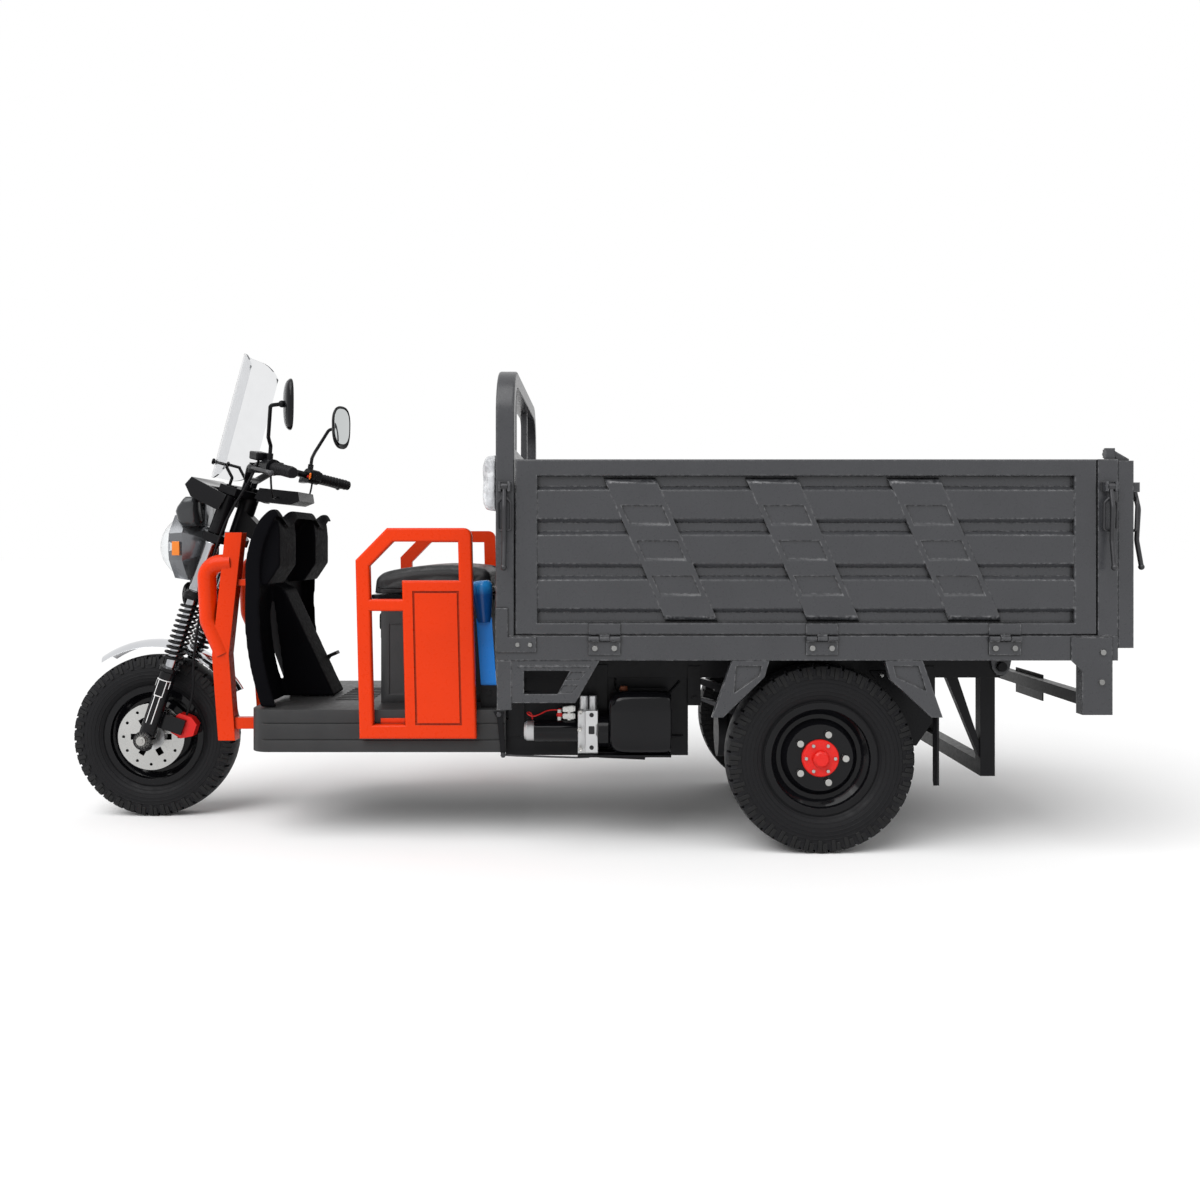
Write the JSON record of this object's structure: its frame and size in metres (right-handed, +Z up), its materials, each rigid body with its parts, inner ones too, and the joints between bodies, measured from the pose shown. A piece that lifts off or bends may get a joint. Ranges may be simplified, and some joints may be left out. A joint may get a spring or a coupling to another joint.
{
  "type": "cargo tricycle",
  "caption": "Electric cargo tricycle with a sprung fork, clear windscreen, orange guards, rider's seat and a tipping cargo box with drop sides, a top-hung tailgate and a telescopic ram.",
  "frame": {"origin": "on the ground, under the middle of the overall length and width", "axes": "+Z up, the front of the vehicle points along -X, its left side along -Y"},
  "size_m": [3.3593, 1.1968, 1.5496],
  "materials": {
    "tyre_rubber": "matte",
    "wheel_paint": "gloss",
    "frame_paint": "satin",
    "box_paint": "satin",
    "guard_paint": "gloss",
    "bright_chrome": "polished",
    "spring_steel": "satin",
    "zinc_steel": "satin",
    "lever_alloy": "satin",
    "pump_alloy": "cast",
    "caliper_red": "gloss",
    "lever_blue": "satin",
    "black_moulding": "grained",
    "lamp_shell": "satin",
    "battery_case": "matte",
    "seat_cover": "grained",
    "pad_wrap": "film wrapped",
    "clear_sheet": "clear",
    "mirror_shell": "gloss",
    "grip_rubber": "matte",
    "tail_red": "gloss"
  },
  "bodies": {
    "chassis": {"main_frame": "frame_paint", "frame_neck": "frame_paint", "foot_deck": "black_moulding", "leg_shield": "black_moulding", "crash_bars": "guard_paint", "side_frames": "guard_paint", "battery_box": "frame_paint", "battery_pack": "battery_case", "hydraulic_pump": "pump_alloy", "oil_tank": "black_moulding", "leaf_springs": "spring_steel"},
    "steering": {"fork_crown": "frame_paint", "fork_springs": "spring_steel", "handlebar": "frame_paint", "headlight": "lamp_shell", "headlight_lens": "clear_sheet", "windscreen": "clear_sheet", "brake_hose": "grip_rubber"},
    "sliders": {"fork_legs": "frame_paint", "front_fender": "bright_chrome", "brake_caliper": "caliper_red"},
    "front_wheel": {"front_tyre": "tyre_rubber", "front_wheel": "wheel_paint"},
    "throttle": {"throttle_grip": "grip_rubber"},
    "left_lever": {"brake_lever_left": "lever_alloy"},
    "right_lever": {"brake_lever_right": "lever_alloy"},
    "left_mirror": {"mirror_left": "mirror_shell"},
    "right_mirror": {"mirror_right": "mirror_shell"},
    "seat": {"seat_base": "black_moulding", "seat_cushion": "seat_cover"},
    "foot_brake": {"brake_pedal": "grip_rubber"},
    "park_lever": {"parking_brake": "lever_blue"},
    "box": {"box_floor": "box_paint", "box_rails": "box_paint", "front_wall": "box_paint", "head_guard": "box_paint", "rear_posts": "box_paint", "side_skirts": "frame_paint", "mudguards": "frame_paint", "box_brackets": "box_paint", "tail_lamps": "tail_red", "backrest_pad": "pad_wrap"},
    "left_gate": {"side_gate_left": "box_paint"},
    "right_gate": {"side_gate_right": "box_paint"},
    "tailgate": {"tailgate": "box_paint"},
    "front_left_latch": {"latch_front_left": "zinc_steel"},
    "front_right_latch": {"latch_front_right": "zinc_steel"},
    "rear_left_latch": {"latch_rear_left": "zinc_steel"},
    "rear_right_latch": {"latch_rear_right": "zinc_steel"},
    "tail_left_latch": {"latch_tail_left": "zinc_steel"},
    "tail_right_latch": {"latch_tail_right": "zinc_steel"},
    "ram": {"ram_barrel": "zinc_steel"},
    "ram_tube_1": {"ram_stage_1": "zinc_steel"},
    "ram_tube_2": {"ram_stage_2": "zinc_steel"},
    "ram_rod": {"ram_stage_3": "zinc_steel"},
    "axle": {"rear_axle": "frame_paint"},
    "left_rear_wheel": {"rear_tyre_left": "tyre_rubber", "rear_wheel_left": "wheel_paint"},
    "right_rear_wheel": {"rear_tyre_right": "tyre_rubber", "rear_wheel_right": "wheel_paint"}
  },
  "joints": [
    {"name": "steering", "type": "hinge", "parent": "chassis", "child": "steering", "pos_m": [-1.117, 0, 1.0012], "axis": [0.3223, 0, 0.9466], "range_deg": [-40, 40]},
    {"name": "fork_travel", "type": "slide", "parent": "steering", "child": "sliders", "axis": [0.3223, 0, 0.9466], "range_m": [0, 0.06], "stiffness_N_per_m": 20000, "springref_m": -0.08, "deforming": ["fork_springs", "brake_hose"]},
    {"name": "front_wheel_spin", "type": "hinge", "parent": "sliders", "child": "front_wheel", "pos_m": [-1.405, 0, 0.27], "axis": [0, 1, 0], "continuous": true},
    {"name": "throttle_twist", "type": "hinge", "parent": "steering", "child": "throttle", "pos_m": [-0.85, 0.36, 1.132], "axis": [-0.6546, -0.7376, 0.166], "range_deg": [0, 70], "stiffness_Nm_per_rad": 0.25, "springref_deg": -17.19},
    {"name": "left_brake_pull", "type": "hinge", "parent": "steering", "child": "left_lever", "pos_m": [-0.997, -0.2878, 1.1535], "axis": [0.1102, -0.1241, 0.9861], "range_deg": [0, 11], "stiffness_Nm_per_rad": 4, "springref_deg": -11.46},
    {"name": "right_brake_pull", "type": "hinge", "parent": "steering", "child": "right_lever", "pos_m": [-0.997, 0.2878, 1.1535], "axis": [-0.1102, -0.1241, -0.9861], "range_deg": [0, 11], "stiffness_Nm_per_rad": 4, "springref_deg": -11.46},
    {"name": "left_mirror_turn", "type": "hinge", "parent": "steering", "child": "left_mirror", "pos_m": [-0.8858, -0.3458, 1.344], "axis": [0, 0, 1], "range_deg": [-20, 20]},
    {"name": "right_mirror_turn", "type": "hinge", "parent": "steering", "child": "right_mirror", "pos_m": [-0.8858, 0.3458, 1.344], "axis": [0, 0, 1], "range_deg": [-20, 20]},
    {"name": "seat_lift", "type": "hinge", "parent": "chassis", "child": "seat", "pos_m": [-0.617, 0, 0.728], "axis": [0, -1, 0], "range_deg": [0, 60]},
    {"name": "foot_brake_press", "type": "hinge", "parent": "chassis", "child": "foot_brake", "pos_m": [-0.905, 0.098, 0.44], "axis": [0, -1, 0], "range_deg": [0, 20], "stiffness_Nm_per_rad": 20, "springref_deg": -14.32},
    {"name": "park_lever_pull", "type": "hinge", "parent": "chassis", "child": "park_lever", "pos_m": [-0.252, -0.3, 0.452], "axis": [0, -1, 0], "range_deg": [0, 28]},
    {"name": "box_tip", "type": "hinge", "parent": "chassis", "child": "box", "pos_m": [1.33, 0, 0.535], "axis": [0, 1, 0], "range_deg": [0, 35]},
    {"name": "left_gate_drop", "type": "hinge", "parent": "box", "child": "left_gate", "pos_m": [0.686, -0.559, 0.64], "axis": [1, 0, 0], "range_deg": [0, 170]},
    {"name": "right_gate_drop", "type": "hinge", "parent": "box", "child": "right_gate", "pos_m": [0.686, 0.559, 0.64], "axis": [-1, 0, 0], "range_deg": [0, 170]},
    {"name": "tailgate_swing", "type": "hinge", "parent": "box", "child": "tailgate", "pos_m": [1.572, 0, 1.176], "axis": [0, -1, 0], "range_deg": [0, 75]},
    {"name": "front_left_latch_swing", "type": "hinge", "parent": "box", "child": "front_left_latch", "pos_m": [-0.182, -0.567, 1.078], "axis": [-1, 0, 0], "range_deg": [0, 100]},
    {"name": "front_right_latch_swing", "type": "hinge", "parent": "box", "child": "front_right_latch", "pos_m": [-0.182, 0.567, 1.078], "axis": [1, 0, 0], "range_deg": [0, 100]},
    {"name": "rear_left_latch_swing", "type": "hinge", "parent": "box", "child": "rear_left_latch", "pos_m": [1.561, -0.567, 1.078], "axis": [-1, 0, 0], "range_deg": [0, 100]},
    {"name": "rear_right_latch_swing", "type": "hinge", "parent": "box", "child": "rear_right_latch", "pos_m": [1.561, 0.567, 1.078], "axis": [1, 0, 0], "range_deg": [0, 100]},
    {"name": "tail_left_latch_swing", "type": "hinge", "parent": "tailgate", "child": "tail_left_latch", "pos_m": [1.653, -0.514, 1.078], "axis": [0, -1, 0], "range_deg": [0, 100]},
    {"name": "tail_right_latch_swing", "type": "hinge", "parent": "tailgate", "child": "tail_right_latch", "pos_m": [1.653, 0.514, 1.078], "axis": [0, -1, 0], "range_deg": [0, 100]},
    {"name": "ram_swing", "type": "hinge", "parent": "chassis", "child": "ram", "pos_m": [0.1, 0, 0.48], "axis": [0, 1, 0], "range_deg": [0, 17.5]},
    {"name": "ram_extend_1", "type": "slide", "parent": "ram", "child": "ram_tube_1", "axis": [0, 0, 1], "range_m": [0, 0.2449]},
    {"name": "ram_extend_2", "type": "slide", "parent": "ram_tube_1", "child": "ram_tube_2", "axis": [0, 0, 1], "range_m": [0, 0.2449]},
    {"name": "ram_extend_3", "type": "slide", "parent": "ram_tube_2", "child": "ram_rod", "axis": [0, 0, 1], "range_m": [0, 0.2449]},
    {"name": "axle_travel", "type": "slide", "parent": "chassis", "child": "axle", "axis": [0, 0, 1], "range_m": [0, 0.05], "stiffness_N_per_m": 40000, "springref_m": -0.1, "deforming": ["leaf_springs"]},
    {"name": "left_rear_wheel_spin", "type": "hinge", "parent": "axle", "child": "left_rear_wheel", "pos_m": [0.745, -0.44, 0.279], "axis": [0, 1, 0], "continuous": true},
    {"name": "right_rear_wheel_spin", "type": "hinge", "parent": "axle", "child": "right_rear_wheel", "pos_m": [0.745, 0.44, 0.279], "axis": [0, 1, 0], "continuous": true}
  ],
  "couplings": [
    {"joint": "ram_swing", "follows": "box_tip", "ratio": 0.5},
    {"joint": "ram_extend_1", "follows": "box_tip", "m_per_rad": 0.4001},
    {"joint": "ram_extend_2", "follows": "box_tip", "m_per_rad": 0.4001},
    {"joint": "ram_extend_3", "follows": "box_tip", "m_per_rad": 0.4001}
  ]
}
